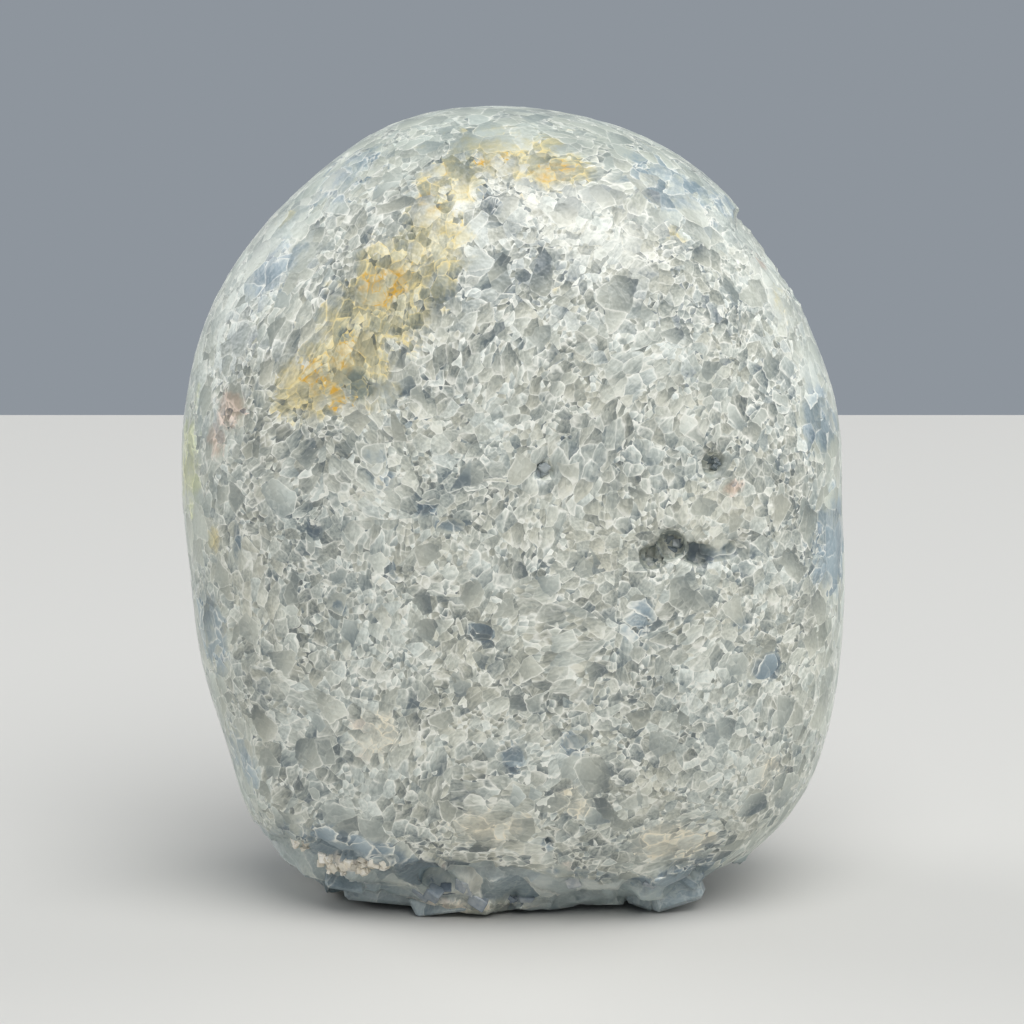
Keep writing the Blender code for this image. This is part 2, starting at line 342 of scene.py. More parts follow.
# The pit crystals' tones are kept dark as painted shade
PIT_PAINTED_SHADE_TONES = ((0, "#646f76"), (0.5, "#858e92"), (1, "#abb1b0"))
CRUSTED, CRUST_CRYSTALS, CRUST_TILT = 3, 6, 60
CRUST_CRYSTAL_SIZE = (0.5 * MM, 1.5 * MM)
CRUST_SINK = 0.2 * MM
CRUST_TONES = ((0, "#aca698"), (0.35, "#dad2c1"), (0.7, "#efe8d9"), (1, "#f8f4ea"))
BASE_CRYSTALS, BASE_CROWDING, BASE_TILT = 180, 0.7, 14
BASE_CRYSTAL_TOP, UNDERSIDE = 6.5 * MM, -0.45
BASE_CRYSTAL_SIZES = ((0.7 * MM, 2.4 * MM), (0.8 * MM, 3.6 * MM), (1.4 * MM, 2.4 * MM))
BASE_CRYSTAL_SINK = (-0.35 * MM, 0.1 * MM)
BASE_TONES = ((0, "#67727d"), (0.4, "#89939b"), (0.75, "#aaafb1"), (1, "#d3d2cb"))
CLOUDS, CLOUDY = 1.1, 0.8
PIT_GLOSS, CRUST_GLOSS, BASE_GLOSS = 0.16, 0.45, 0.22

# The studio's lights and floor, in metres
KEY_PLACE, KEY_SIZE = (0.42, -1.1, 2), 2.2
RIM_PLACE, RIM_SIZE, RIM_RIGHT = (2, 0.9, 1.1), 1.8, 0.9
FLOOR_SIDE, FLOOR_NEAR, FLOOR_FAR = 2, -2, 0.4865
FLOOR_GLOSS = 0.8


def linear(hex_colour):
    """An sRGB hex colour such as "#8f9a9a" as linear RGBA."""
    parts = [int(hex_colour[i:i + 2], 16) / 255 for i in (1, 3, 5)]
    return [c / 12.92 if c <= 0.04045 else ((c + 0.055) / 1.055) ** 2.4 for c in parts] + [1]


class CelestiteGrains(bpy.types.PropertyGroup):
    """Sizes of the crystal grains."""

    window: bpy.props.FloatProperty(
        name="Clear grains", description="Spacing of the largest clear grains",
        default=4.6 * MM, unit="LENGTH", precision=4)
    grain: bpy.props.FloatProperty(
        name="Middle grains", description="Spacing of the middle grains and blades",
        default=2.0 * MM, unit="LENGTH", precision=4)
    crumb: bpy.props.FloatProperty(
        name="Fine grains", description="Spacing of the crushed white grains",
        default=0.95 * MM, unit="LENGTH", precision=4)
    block: bpy.props.FloatProperty(
        name="Base crystals", description="Spacing of the large crystals of the broken base",
        default=7.5 * MM, unit="LENGTH", precision=4)
    region: bpy.props.FloatProperty(
        name="Blade regions", description="Spacing of the regions whose blades share one direction",
        default=13.0 * MM, unit="LENGTH", precision=4)


class CelestiteColours(bpy.types.PropertyGroup):
    """Colours of the stone."""

    boundary: bpy.props.FloatVectorProperty(
        name="Boundaries", description="Milky white between the grains",
        size=4, subtype="COLOR", default=linear("#edece1"))
    stain: bpy.props.FloatVectorProperty(
        name="Stain", description="Yellow iron stain between the grains",
        size=4, subtype="COLOR", default=linear("#e2cf92"))
    ochre: bpy.props.FloatVectorProperty(
        name="Ochre", description="Strongest orange iron stain",
        size=4, subtype="COLOR", default=linear("#cf9f34"))


class CelestiteStudio(bpy.types.PropertyGroup):
    """Lights and floor of the studio."""

    key: bpy.props.FloatProperty(
        name="Key light", description="Power of the large soft light above", default=52.5, unit="POWER")
    rim: bpy.props.FloatProperty(
        name="Rim lights", description="Power of each soft light behind", default=24.0, unit="POWER")
    wall: bpy.props.FloatVectorProperty(
        name="Backdrop", description="Plain blue-grey behind and all round",
        size=4, subtype="COLOR", default=linear("#8e959d"))
    floor: bpy.props.FloatVectorProperty(
        name="Floor", description="Plain pale floor",
        size=4, subtype="COLOR", default=linear("#c8c6c1"))


def node(tree, kind, values=None, out=0, **settings):
    """Add a node with its settings, fill or link its inputs, and return an output or the node."""
    made = tree.nodes.new(kind)
    for index, (place, hex_colour) in enumerate(settings.pop("stops", ())):
        steps = made.color_ramp.elements
        step = steps[index] if index < 2 else steps.new(place)
        step.position, step.color = place, linear(hex_colour)
    for name, value in settings.items():
        setattr(made, name, value)
    for key, value in (values or {}).items():
        if isinstance(value, bpy.types.NodeSocket):
            tree.links.new(value, made.inputs[key])
        else:
            made.inputs[key].default_value = value
    return made if out is None else made.outputs[out]


def spread(value, span):
    """Inputs that map a value from the first two numbers of a span to its last two."""
    return {"Value": value, "From Min": span[0], "From Max": span[1], "To Min": span[2], "To Max": span[3]}


def waves(place, length, detail=1):
    """Inputs of a noise whose waves are so many millimetres long."""
    return {"Vector": place, "Scale": 1 / length, "Detail": detail}


def inner_ring(tree, margin, side, share, random_number):
    """A faint white line inside a grain's rim, at a distance that differs from grain to grain, painted
    stronger on the grain's highlighted side.
    """
    where = node(tree, MAP, spread(random_number, (0, 1, *RING_PLACE)))
    off = node(tree, MATHS, {0: margin, 1: where}, operation="SUBTRACT")
    far = node(tree, MATHS, {0: off}, operation="ABSOLUTE")
    faint = node(tree, MATHS, {0: side, 1: share, 2: RING_CUT}, operation="MULTIPLY_ADD")
    return node(tree, MAP, spread(far, (*RING_WIDTH, faint, 0)), interpolation_type="SMOOTHSTEP")


def grain_level(tree, place, spacing, look, rim):
    """One size of grain as flat, leaning facets: tone with painted shade across each facet, white rim painted
    whiter on one side, height, lean and random numbers.
    """
    spacing = spacing / MM
    colour = node(tree, CELLS, {"Vector": place, "Scale": 1 / spacing}, "Color")
    middle = colour.node.outputs["Position"]
    inside = node(tree, VECTOR, {0: place, 1: middle}, operation="SUBTRACT")
    lean = node(tree, VECTOR, {0: colour, 1: MIDDLES}, operation="SUBTRACT")
    tilt = node(tree, VECTOR, {0: inside, 1: lean}, "Value", operation="DOT_PRODUCT")
    randoms = node(tree, "ShaderNodeSeparateXYZ", {0: colour}).node.outputs
    edge = node(tree, CELLS, {"Vector": place, "Scale": 1 / spacing}, "Distance", feature="DISTANCE_TO_EDGE")
    margin = node(tree, MATHS, {0: edge, 1: spacing}, operation="MULTIPLY")
    flat = node(tree, MAP, spread(randoms[0], (0, 1, *look["tones"])))
    # Painted shade: the tone runs paler to darker across each grain along its lean, like light falling on a
    # tilted face
    tone = node(tree, MATHS, {0: tilt, 1: LEAN_PAINTED_SHADE / spacing, 2: flat}, operation="MULTIPLY_ADD")
    tilts = (TILT_FROM * spacing, TILT_TO * spacing)
    # Painted highlight: the milky rim is whiter on the side the grain leans to, like light catching an edge;
    # the milky white itself is the stone's own colour
    side = node(tree, MAP, spread(tilt, (*tilts, RIM_LEAST, rim["strength"])))
    line = node(tree, MAP, spread(margin, (0, rim["width"], side, 0)), interpolation_type="SMOOTHSTEP")
    if look["ring"]:
        ring = inner_ring(tree, margin, side, look["ring"], randoms[2])
        line = node(tree, MATHS, {0: line, 1: ring}, operation="MAXIMUM")
    height = node(tree, MATHS, {0: tilt, 1: look["slope"], 2: look["sink"]}, operation="MULTIPLY_ADD")
    return {"tone": tone, "edge": line, "height": height, "lean": lean, "randoms": randoms,
            "hue": randoms[2], "grit": look["grit"]}


def overlay(tree, under, over, mask):
    """Lay one level's tone, edge, height and lean over another's, a little see-through."""
    clear = node(tree, MATHS, {0: mask, 1: LAYER_COVER}, operation="MULTIPLY")
    level = {
        key: node(tree, MIX, {0: clear, 2: under[key], 3: over[key]}, data_type="FLOAT")
        for key in ("tone", "edge", "height", "hue", "grit")
    }
    level["lean"] = node(tree, MIX, {0: clear, 4: under["lean"], 5: over["lean"]}, 1, data_type="VECTOR")
    return level


def bent_places(tree, place):
    """The place bent by a slow noise, and the same with a quick noise on top that frays the grains."""
    slow = node(tree, NOISE, waves(place, BEND_LENGTH), "Color")
    bent = node(tree, VECTOR, {0: slow, 1: BEND, 2: place}, operation="MULTIPLY_ADD")
    quick = node(tree, NOISE, waves(place, SHAKE_LENGTH), "Color")
    return bent, node(tree, VECTOR, {0: quick, 1: SHAKE, 2: bent}, operation="MULTIPLY_ADD")


def blade_places(tree, bent, shake):
    """The place turned a different way in each region, and stretched where the grains are blades."""
    spacing = bpy.context.scene.celestite_grains.region
    region = node(tree, CELLS, {"Vector": bent, "Scale": MM / spacing}, "Color")
    axis = node(tree, VECTOR, {0: region, 1: MIDDLES}, operation="SUBTRACT")
    part = node(tree, "ShaderNodeSeparateXYZ", {0: region}, "Y")
    full = node(tree, MATHS, {0: part, 1: math.tau}, operation="MULTIPLY")
    turned = node(tree, "ShaderNodeVectorRotate", {"Vector": shake, "Axis": axis, "Angle": full},
                  rotation_type="AXIS_ANGLE")
    bladed = node(tree, "ShaderNodeSeparateXYZ", {0: region}, "Z")
    long = node(tree, MAP, spread(bladed, (*BLADED, *BLADE_LENGTH)))
    stretch = node(tree, "ShaderNodeCombineXYZ", {"X": BLADE_WIDTH, "Y": 1, "Z": long})
    return turned, node(tree, VECTOR, {0: turned, 1: stretch}, operation="MULTIPLY")


def patchy_rim(tree, patchy, spans):
    """Width and strength of the milky rims, which grow with the patchy noise."""
    return {name: node(tree, MAP, spread(patchy, span)) for name, span in spans.items()}


def add_clear_grains(tree, level, shake, rim, zones):
    """Two sizes of clear grain, which crowd in the windows, on the stone's rim and in the slate zones."""
    asked = node(tree, MATHS, {0: zones["band"], 1: CROWDED["band"]}, operation="MULTIPLY")
    near = node(tree, MATHS, {0: zones["window"], 1: WINDOW_POWER}, operation="POWER")
    for name, share in (("window", near), ("slate", zones["slate"])):
        asked = node(tree, MATHS, {0: share, 1: CROWDED[name], 2: asked}, operation="MULTIPLY_ADD")
    shifted = node(tree, VECTOR, {0: shake, 1: CLEAR_SHIFT}, operation="ADD")
    spacing = bpy.context.scene.celestite_grains.window
    for where, size in zip((shifted, shake), CLEAR_SIZES):
        over = grain_level(tree, where, size * spacing, GRAINS["clear"], rim)
        chance = node(tree, MATHS, {0: over["randoms"][1], 1: asked}, operation="SUBTRACT")
        clear = node(tree, MATHS, {0: chance, 1: CLEAR_SHARE}, operation="LESS_THAN")
        level = overlay(tree, level, over, clear)
    return level


def add_blocks(tree, level, shake, patchy, zones):
    """The large crystals of the broken base, some crushed to fine grains again."""
    rim = patchy_rim(tree, patchy, BLOCK_RIM)
    over = grain_level(tree, shake, bpy.context.scene.celestite_grains.block, GRAINS["block"], rim)
    uneven = node(tree, MATHS, {0: patchy, 1: BLOCK_PATCHY, 2: -BLOCK_PATCHY / 2}, operation="MULTIPLY_ADD")
    low = node(tree, MATHS, {0: zones["base"], 1: uneven}, operation="ADD")
    crushed = node(tree, MATHS, {0: over["randoms"][1], 1: BLOCK_CRUSHED, 2: zones["cream"]},
                   operation="MULTIPLY_ADD")
    whole = node(tree, MATHS, {0: low, 1: crushed}, operation="SUBTRACT")
    block = node(tree, MAP, spread(whole, (*BLOCK_LIMIT, 0, 1)))
    level = overlay(tree, level, over, block)
    level["block"] = block
    return level


def grain_pattern(tree, place, zones):
    """The mosaic of grains in millimetres: tone 0 dark to 1 pale, edge 1 white, height in mm."""
    grains = bpy.context.scene.celestite_grains
    bent, shake = bent_places(tree, place)
    turned, blades = blade_places(tree, bent, shake)
    patchy = node(tree, NOISE, {**waves(place, PATCH_LENGTH, 3), "Roughness": PATCH_ROUGHNESS})
    rim = patchy_rim(tree, patchy, GRAIN_RIM)
    level = grain_level(tree, blades, grains.crumb, GRAINS["crumb"], rim)
    over = grain_level(tree, blades, grains.grain, GRAINS["middle"], rim)
    whole = node(tree, MATHS, {0: over["randoms"][1], 1: MIDDLE_SHARE}, operation="LESS_THAN")
    level = overlay(tree, level, over, whole)
    level = add_clear_grains(tree, level, shake, rim, zones)
    level = add_blocks(tree, level, shake, patchy, zones)
    streaks = node(tree, VECTOR, {0: turned, 1: STREAKS}, operation="MULTIPLY")
    cloud = node(tree, NOISE, waves(streaks, STREAK_LENGTH, 2))
    drift = node(tree, MATHS, {0: cloud, 1: MIDDLE}, operation="SUBTRACT")
    level["tone"] = node(tree, MATHS, {0: drift, 1: level["grit"], 2: level["tone"]},
                         operation="MULTIPLY_ADD")
    level["patchy"] = patchy
    return level


def ragged_mask(tree, level, zone):
    """A zone's smooth share as a mask whose edge follows single grains and the patchy noise."""
    grainy = node(tree, MATHS, {0: level["hue"], 1: RAGGED_GRAINS, 2: RAGGED_BASE},
                  operation="MULTIPLY_ADD")
    ragged = node(tree, MATHS, {0: level["patchy"], 1: RAGGED_PATCHES, 2: grainy}, operation="MULTIPLY_ADD")
    rough = node(tree, MATHS, {0: zone, 1: ragged}, operation="ADD")
    mask = node(tree, MAP, spread(rough, (*RAGGED_LIMIT, 0, 1)), interpolation_type="SMOOTHSTEP")
    inside = node(tree, MATHS, {0: zone, 1: ZONE_END}, operation="GREATER_THAN")
    return node(tree, MATHS, {0: mask, 1: inside}, operation="MULTIPLY")


def grain_greys(tree, place, level, zones, masks, even):
    """The colour of the grains' insides: grey, or slate blue in the base and in the clear windows."""
    veil = node(tree, NOISE, waves(place, VEIL_LENGTH))
    veiled = node(tree, MATHS, {0: veil, 1: MIDDLE}, operation="SUBTRACT")
    tone = node(tree, MATHS, {0: level["tone"], 1: veiled}, operation="ADD")
    # Painted light lifts the tone on the stone's narrow rim, and painted shade darkens it in the pits
    changes = [(zones["band"], BAND_PAINTED_LIGHT)] + [(masks[name], share) for name, share in DARKER_AND_PIT_SHADE.items()]
    for where, share in changes:
        tone = node(tree, MATHS, {0: where, 1: share, 2: tone}, operation="MULTIPLY_ADD")
    # Painted reflection: the tone on the stone's narrow rim is evened towards a middle tone
    tone = node(tree, MIX, {0: even, 2: tone, 3: BAND_MIDDLE}, data_type="FLOAT")
    grey = node(tree, "ShaderNodeValToRGB", {0: tone}, "Color", stops=GREYS)
    slate = node(tree, "ShaderNodeValToRGB", {0: tone}, "Color", stops=SLATES)
    blue = masks["slate"]
    for where, share in ((level["block"], BLUE_BLOCK), (masks["window"], BLUE_WINDOW)):
        some = node(tree, MATHS, {0: where, 1: share}, operation="MULTIPLY")
        blue = node(tree, MATHS, {0: blue, 1: some}, operation="MAXIMUM")
    return node(tree, MIX, {0: blue, 6: grey, 7: slate}, 2, data_type="RGBA")


def golden_mask(tree, place, level, masks):
    """Where ochre has seeped in, mostly along the grains' rims."""
    seep = node(tree, NOISE, waves(place, SEEP_LENGTH, 2))
    seeping = node(tree, MAP, spread(seep, (*SEEPING, 0, 1)))
    crevice = node(tree, MATHS, {0: level["edge"], 1: SOAK_EDGE, 2: SOAK_ALL}, operation="MULTIPLY_ADD")
    soaked = node(tree, MATHS, {0: seeping, 1: crevice}, operation="MULTIPLY")
    return node(tree, MATHS, {0: masks["ochre"], 1: soaked}, operation="MULTIPLY")


def rim_colour(tree, masks, golden):
    """The colour of the milky rims: white, cream, yellow or ochre."""
    colours = bpy.context.scene.celestite_colours
    line = list(colours.boundary)
    for mask, colour in ((masks["cream"], linear(CREAM)), (masks["stain"], list(colours.stain)),
                         (masks["ochre"], linear(OCHRE_PATCH)), (golden, list(colours.ochre))):
        line = node(tree, MIX, {0: mask, 6: line, 7: colour}, 2, data_type="RGBA")
    return line


def rim_cover(tree, level, masks, golden, even):
    """How much of the rims' colour covers the grains: none in pits, little on the stone's rim, where painted
    reflection clears them.
    """
    clean = node(tree, MATHS, {0: 1, 1: masks["pit"]}, operation="SUBTRACT")
    clean = node(tree, MATHS, {0: even, 1: BAND_CLEAN, 2: clean}, operation="MULTIPLY_ADD", use_clamp=True)
    cover = node(tree, MATHS, {0: level["edge"], 1: clean}, operation="MULTIPLY")
    for where, share in ((golden, GOLD_COVER), (masks["cream"], CREAM_COVER)):
        cover = node(tree, MATHS, {0: where, 1: share, 2: cover}, operation="MULTIPLY_ADD")
    return cover


def grain_tint(tree, place, level, even):
    """A slight tint, warm or cool by region and by grain, and teal on the stone's rim."""
    broad = node(tree, NOISE, waves(place, TINT_LENGTH))
    regional = node(tree, MATHS, {0: broad, 1: TINT_CONTRAST, 2: -TINT_CONTRAST / 2},
                    operation="MULTIPLY_ADD")
    cool = node(tree, MATHS, {0: level["hue"], 1: regional}, operation="ADD", use_clamp=True)
    tint = node(tree, MIX, {0: cool, 6: WARM_GRAIN, 7: COOL_GRAIN}, 2, data_type="RGBA")
    return node(tree, MIX, {0: even, 6: tint, 7: BAND_TINT}, 2, data_type="RGBA")


def stone_colour(tree, place, level, zones, masks):
    """The whole colour: tinted grains, their milky rims and the chalky crust."""
    # The stone's narrow rim: painted reflection evens its tone and clears its milky rims, and it is tinted
    # teal
    even = node(tree, MATHS, {0: zones["band"], 1: BAND_EVEN}, operation="MULTIPLY")
    golden = golden_mask(tree, place, level, masks)
    multiply = {"data_type": "RGBA", "blend_type": "MULTIPLY"}
    inside = grain_greys(tree, place, level, zones, masks, even)
    inside = node(tree, MIX, {0: masks["stain"], 6: inside, 7: STAIN_TINT}, 2, **multiply)
    tint = grain_tint(tree, place, level, even)
    inside = node(tree, MIX, {0: 1, 6: inside, 7: tint}, 2, **multiply)
    line = rim_colour(tree, masks, golden)
    for name, tint in (("rose", ROSE_TINT), ("green", GREEN_TINT)):
        inside, line = (node(tree, MIX, {0: masks[name], 6: part, 7: tint}, 2, **multiply)
                        for part in (inside, line))
    cover = rim_cover(tree, level, masks, golden, even)
    colour = node(tree, MIX, {0: cover, 6: inside, 7: line}, 2, data_type="RGBA")
    chalky = node(tree, MATHS, {0: level["edge"], 1: CHALK_EDGE, 2: CHALK_ALL},
                  operation="MULTIPLY_ADD", use_clamp=True)
    chalk = node(tree, MATHS, {0: masks["crust"], 1: chalky}, operation="MULTIPLY")
    return node(tree, MIX, {0: chalk, 6: colour, 7: linear(CHALK)}, 2, data_type="RGBA")


def facet_normal(tree, place, level):
    """Lean each grain's face its own way, under the fine waviness that hand polishing leaves."""
    plain = node(tree, "ShaderNodeNewGeometry", out="Normal")
    facet = node(tree, VECTOR, {0: level["lean"], 1: FACET, 2: plain}, operation="MULTIPLY_ADD")
    facing = node(tree, VECTOR, {0: facet}, operation="NORMALIZE")
    fine = node(tree, NOISE, waves(place, POLISH_LENGTH))
    return node(tree, "ShaderNodeBump",
                {"Height": fine, "Distance": WAVINESS, "Strength": 1, "Normal": facing}, "Normal")


def millimetres(tree):
    """The place on the piece in millimetres."""
    place = node(tree, "ShaderNodeTexCoord", out="Object")
    return node(tree, VECTOR, {0: place, "Scale": 1 / MM}, operation="SCALE")


def celestite_material():
    """Hand-polished celestite: clear grey grains in milky white rims, glossiest where it is clear.

    The thin coat is the polish, a soft shine at the shoulders. The sheen stands for the light that
    leaves the clear crystals again near the stone's outline.
    """
    material = bpy.data.materials.new(SKIN_MATERIAL)
    material.use_nodes = True
    tree = material.node_tree
    tree.nodes.clear()
    place = millimetres(tree)
    zones = {name: node(tree, "ShaderNodeAttribute", out="Fac", attribute_name=name)
             for name in (*ZONES, *SHAPE_ZONES)}
    level = grain_pattern(tree, place, zones)
    masks = {name: ragged_mask(tree, level, zones[name]) for name in ZONES}
    gloss = node(tree, MAP, spread(level["edge"], (0, 1, CLEAR_GLOSS, MILKY_GLOSS)))
    shader = node(tree, "ShaderNodeBsdfPrincipled", {
        "Base Color": stone_colour(tree, place, level, zones, masks), "Roughness": gloss,
        "IOR": REFRACTION, "Normal": facet_normal(tree, place, level),
        "Coat Weight": COAT, "Coat Roughness": COAT_GLOSS,
        "Sheen Weight": SHEEN, "Sheen Roughness": SHEEN_GLOSS,
    }, "BSDF")
    node(tree, "ShaderNodeOutputMaterial", {"Surface": shader}, None)
    return material


def new_object(name, bm):
    """Turn a bmesh into an object of the scene."""
    mesh = bpy.data.meshes.new(name)
    bm.to_mesh(mesh)
    bm.free()
    made = bpy.data.objects.new(name, mesh)
    bpy.context.scene.collection.objects.link(made)
    return made


def apply_modifiers(piece):
    """Replace a piece's mesh by its evaluated one and drop its modifiers."""
    graph = bpy.context.evaluated_depsgraph_get()
    mesh = bpy.data.meshes.new_from_object(piece.evaluated_get(graph))
    piece.modifiers.clear()
    old, piece.data = piece.data, mesh
    bpy.data.meshes.remove(old)
    mesh.name = piece.name


def solid_copy():
    """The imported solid's mesh as a merged bmesh."""
    bm = bmesh.new()
    bm.from_mesh(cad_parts[NODE].data)
    bmesh.ops.remove_doubles(bm, verts=bm.verts, dist=WELD)
    return bm


def sharp_places(bm):
    """Search tree of points along the solid's sharp edges, where the polish is broken."""
    sharp = [edge for edge in bm.edges if edge.calc_face_angle(0) > SHARP_ANGLE]
    found = KDTree(3 * len(sharp))
    for index, edge in enumerate(sharp):
        start, end = (vert.co for vert in edge.verts)
        for step, point in enumerate((start, (start + end) / 2, end)):
            found.insert(point, 3 * index + step)
    found.balance()
    return found


def smooth_step(value, low, high):
    """0 below low, 1 above high, with a soft change between."""
    share = np.clip((value - low) / (high - low), 0, 1)
    return share * share * (3 - 2 * share)


def base_share(points):
    """1 on the broken base, 0 on the polished part, with a limit that wanders and rises to the left."""
    wander = np.array([noise.noise(Vector(point) / WANDER_LENGTH) for point in points])
    height = points[:, 2] + POLISH_SLOPE * points[:, 0] + POLISH_WANDER * wander
    return 1 - smooth_step(height, *POLISH_LIMIT)


def broken_share(points, sharp):
    """1 where the surface is broken, at the base or along a sharp edge, 0 where it is polished."""
    near = np.array([sharp.find(point)[2] for point in points])
    return np.maximum(1 - smooth_step(near, BROKEN_NEAR, BROKEN_FAR), base_share(points))


def zone_share(points, surface, zone, side):
    """How much each point lies in one colour zone, on the front for side -1 or the back for side 1."""
    (x, z), (wide, high), turn, strength = zone
    start = Vector((x * MM, side, z * MM))
    centre = surface.ray_cast(start, Vector((0, -side, 0)))[0]
    if centre is None:
        centre = surface.find_nearest(Vector((x * MM, side * OFF_MIDDLE, z * MM)))[0]
    away = (points - np.array(centre)) / MM
    angle = math.radians(turn)
    along = away[:, 0] * math.cos(angle) + away[:, 2] * math.sin(angle)
    across = away[:, 2] * math.cos(angle) - away[:, 0] * math.sin(angle)
    deep = away[:, 1] / (ZONE_DEPTH * max(wide, high))
    distance = np.sqrt((along / wide) ** 2 + (across / high) ** 2 + deep ** 2)
    return strength * (1 - smooth_step(distance, *ZONE_FADE))


def vectors(items, name):
    """One vector of each item of a mesh, as the rows of an array."""
    flat = np.empty(3 * len(items), dtype=np.float32)
    items.foreach_get(name, flat)
    return flat.reshape(-1, 3)


def band_share(normals):
    """1 on the ovoid's narrow edge, which faces neither front nor back, 0 on its broad faces."""
    return 1 - smooth_step(np.abs(normals[:, 1]), *BAND_LIMIT)


def set_attribute(mesh, name, values):
    """Store one number a vertex."""
    made = mesh.attributes.new(name, "FLOAT", "POINT")
    made.data.foreach_set("value", values.astype(np.float32))


def relief_depth(tree, place, zones):
    """How far the surface is pressed in, in millimetres: grains, lumps where it is broken, open pits."""
    level = grain_pattern(tree, place, zones)
    lump = node(tree, NOISE, waves(place, LUMP_LENGTH, 3))
    lumps = node(tree, MATHS, {0: lump, 1: LUMPS, 2: LUMPS_SINK}, operation="MULTIPLY_ADD")
    rough = node(tree, MATHS, {0: lumps, 1: zones["broken"]}, operation="MULTIPLY")
    amount = node(tree, MATHS, {0: zones["broken"], 1: RELIEF_BROKEN, 2: RELIEF}, operation="MULTIPLY_ADD")
    amount = node(tree, MATHS, {0: zones["band"], 1: RELIEF_BAND, 2: amount}, operation="MULTIPLY_ADD")
    grain = node(tree, MATHS, {0: level["height"], 1: amount}, operation="MULTIPLY")
    depth = node(tree, MATHS, {0: grain, 1: RELIEF_SINK}, operation="ADD")
    total = node(tree, MATHS, {0: depth, 1: rough}, operation="ADD")
    opened = ragged_mask(tree, level, zones["pit"])
    return node(tree, MATHS, {0: opened, 1: -VUG_DEPTH, 2: total}, operation="MULTIPLY_ADD")


def relief_tree():
    """Geometry nodes that press the grains into the skin, always inwards."""
    tree = bpy.data.node_groups.new("grain_relief", "GeometryNodeTree")
    tree.interface.new_socket(name="Geometry", in_out="INPUT", socket_type="NodeSocketGeometry")
    tree.interface.new_socket(name="Geometry", in_out="OUTPUT", socket_type="NodeSocketGeometry")
    start = node(tree, "NodeGroupInput")
    place = node(tree, VECTOR,
                 {0: node(tree, "GeometryNodeInputPosition"), "Scale": 1 / MM}, operation="SCALE")
    zones = {name: node(tree, "GeometryNodeInputNamedAttribute", {"Name": name}, data_type="FLOAT")
             for name in (*ZONES, *SHAPE_ZONES)}
    depth = relief_depth(tree, place, zones)
    inward = node(tree, MATHS, {0: depth, 1: 0}, operation="MINIMUM")
    metres = node(tree, MATHS, {0: inward, 1: MM}, operation="MULTIPLY")
    offset = node(tree, VECTOR,
                  {0: node(tree, "GeometryNodeInputNormal"), "Scale": metres}, operation="SCALE")
    moved = node(tree, "GeometryNodeSetPosition", {"Geometry": start, "Offset": offset})
    node(tree, "NodeGroupOutput", {0: moved}, None)
    return tree


def smooth(piece, sharp):
    """Take the remesh's steps off, more on the polished part."""
    bm = bmesh.new()
    bm.from_mesh(piece.data)
    axes = {"use_axis_x": True, "use_axis_y": True, "use_axis_z": True}
    for _ in range(SMOOTH_ALL):
        bmesh.ops.smooth_vert(bm, verts=bm.verts, factor=SMOOTH_FACTOR, **axes)
    polished = [vert for vert in bm.verts
                if vert.co.z > POLISH_LIMIT[0] and sharp.find(vert.co)[2] > BROKEN_NEAR]
    for _ in range(SMOOTH_POLISH):
        bmesh.ops.smooth_vert(bm, verts=polished, factor=SMOOTH_FACTOR, **axes)
    bm.to_mesh(piece.data)
    bm.free()


def add_crystal(bm, place, size, rng):
    """One small blocky crystal, a little out of square, with its edges cut off."""
    made = bmesh.ops.create_cube(bm, size=1)["verts"]
    for vert in made:
        vert.co += Vector([rng.uniform(-CRYSTAL_SKEW, CRYSTAL_SKEW) for _ in range(3)])
    bmesh.ops.scale(bm, verts=made, vec=size)
    edges = list({edge for vert in made for edge in vert.link_edges})
    cut = bmesh.ops.bevel(bm, geom=edges, offset=CRYSTAL_EDGE * min(size), offset_type="OFFSET",
                          affect="EDGES", segments=1, profile=0.5, material=-1)
    bmesh.ops.transform(bm, matrix=place, verts=cut["verts"])
    return cut["verts"]


def set_tone(verts, own, tone):
    """Give one loose crystal a tone of its own."""
    for vert in verts:
        vert[own] = tone


def behind(surface, x, z):
    """Where a line from the front meets the skin at (x, z) in millimetres, and its outward direction."""
    return surface.ray_cast(Vector((x * MM, -1, z * MM)), Vector((0, 1, 0)))[:2]


def raise_to(verts, floor):
    """Lift a crystal that would reach below the floor."""
    up = floor - min(vert.co.z for vert in verts)
    if up > 0:
        for vert in verts:
            vert.co.z += up


def grow_front_crystals(bm, surface, rng):
    """The larger crystals at the front of the base."""
    for (x, z), size, turn in FRONT_CRYSTALS:
        inset = Vector((0, FRONT_CRYSTAL_SINK * size[1] * MM, 0))
        place = Matrix.Translation(behind(surface, x, z)[0] + inset)
        turned = Matrix.Rotation(math.radians(turn), 4, "Y")
        raise_to(add_crystal(bm, place @ turned, Vector(size) * MM, rng), FLOOR_CLEARANCE)


def facing(outwards, rng, tilt):
    """Rotation that turns a crystal's Z outwards, with a free spin and a small tilt."""
    lean = Euler([math.radians(rng.uniform(-tilt, tilt)) for _ in range(2)] + [rng.uniform(0, math.tau)])
    return outwards.to_track_quat("Z", "Y").to_matrix().to_4x4() @ lean.to_matrix().to_4x4()


def skin_surface():
    """Search tree of the finished skin, on which the loose crystals stand."""
    skin = bmesh.new()
    skin.from_mesh(bpy.data.objects["celestite_skin"].data)
    surface = BVHTree.FromBMesh(skin)
    skin.free()
    return surface


